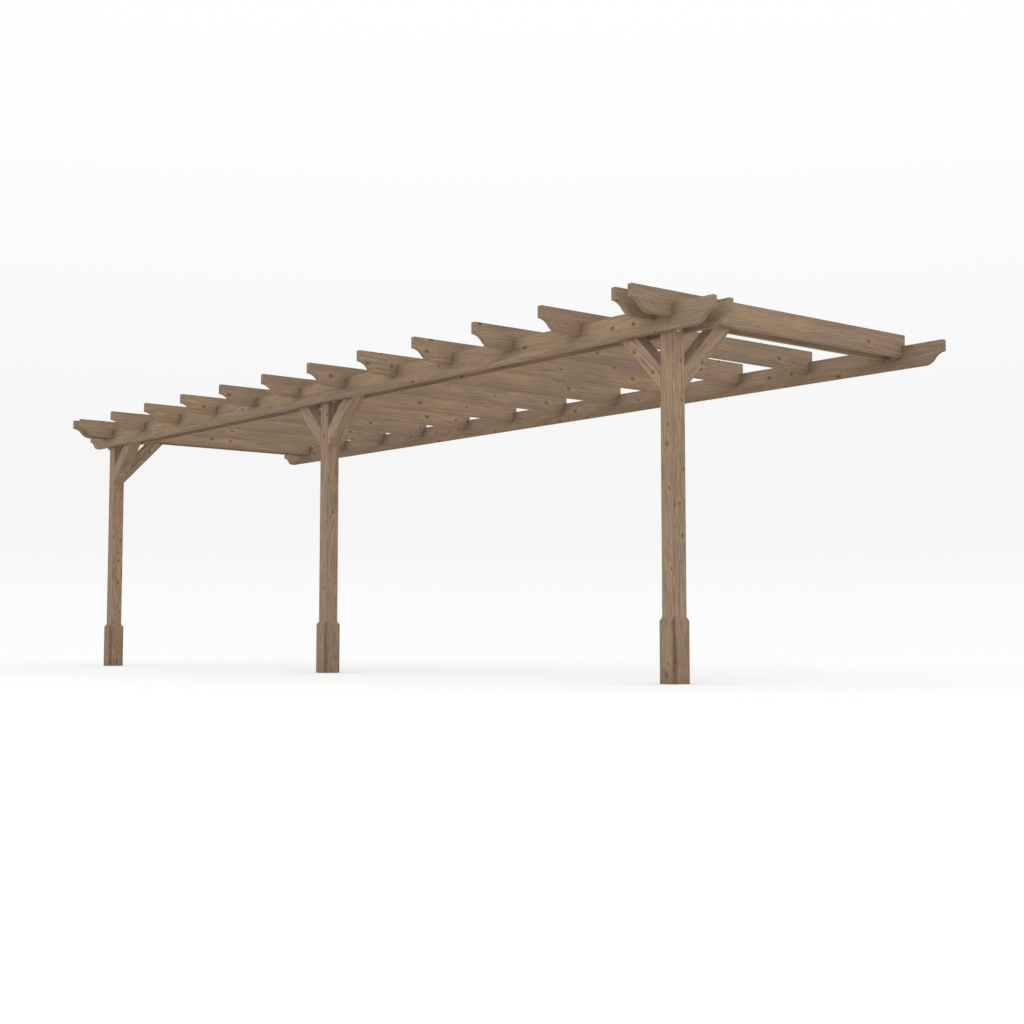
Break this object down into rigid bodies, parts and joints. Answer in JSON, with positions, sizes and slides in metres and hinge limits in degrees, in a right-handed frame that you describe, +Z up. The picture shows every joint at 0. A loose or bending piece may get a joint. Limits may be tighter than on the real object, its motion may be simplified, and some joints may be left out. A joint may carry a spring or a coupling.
{
  "type": "wooden lean-to pergola",
  "caption": "Wall-mounted open pergola frame in planed timber: square posts with boarded feet, double front beam, wall ledger, notched rafters with ogee ends and knee braces.",
  "frame": {"origin": "centre of the ledger's face against the wall, at half the ledger's height", "axes": "+X along the wall towards the right end post, +Y into the wall, +Z up"},
  "size_m": [7.8, 2.4, 2.1745],
  "materials": {
    "posts": "planed, weathered",
    "skirts": "planed, weathered",
    "beams": "planed, weathered",
    "ledger": "planed, weathered",
    "rafters": "planed, weathered",
    "braces": "planed, weathered",
    "bolts": "zinc plated"
  },
  "bodies": {
    "root": {"post_left": "posts", "post_middle": "posts", "post_right": "posts", "skirt_left_front": "skirts", "skirt_left_right": "skirts", "skirt_left_back": "skirts", "skirt_left_left": "skirts", "skirt_middle_front": "skirts", "skirt_middle_right": "skirts", "skirt_middle_back": "skirts", "skirt_middle_left": "skirts", "skirt_right_front": "skirts", "skirt_right_right": "skirts", "skirt_right_back": "skirts", "skirt_right_left": "skirts", "bolt_left": "bolts", "bolt_middle": "bolts", "bolt_right": "bolts", "beam_outer": "beams", "beam_inner": "beams", "wall_ledger": "ledger", "brace_left_to_right": "braces", "brace_left_to_wall": "braces", "brace_middle_to_left": "braces", "brace_middle_to_right": "braces", "brace_right_to_left": "braces", "brace_right_to_wall": "braces", "rafter_1": "rafters", "rafter_2": "rafters", "rafter_3": "rafters", "rafter_4": "rafters", "rafter_5": "rafters", "rafter_6": "rafters", "rafter_7": "rafters", "rafter_8": "rafters", "rafter_9": "rafters", "rafter_10": "rafters", "rafter_11": "rafters", "rafter_12": "rafters", "rafter_13": "rafters", "rafter_14": "rafters"}
  },
  "joints": []
}
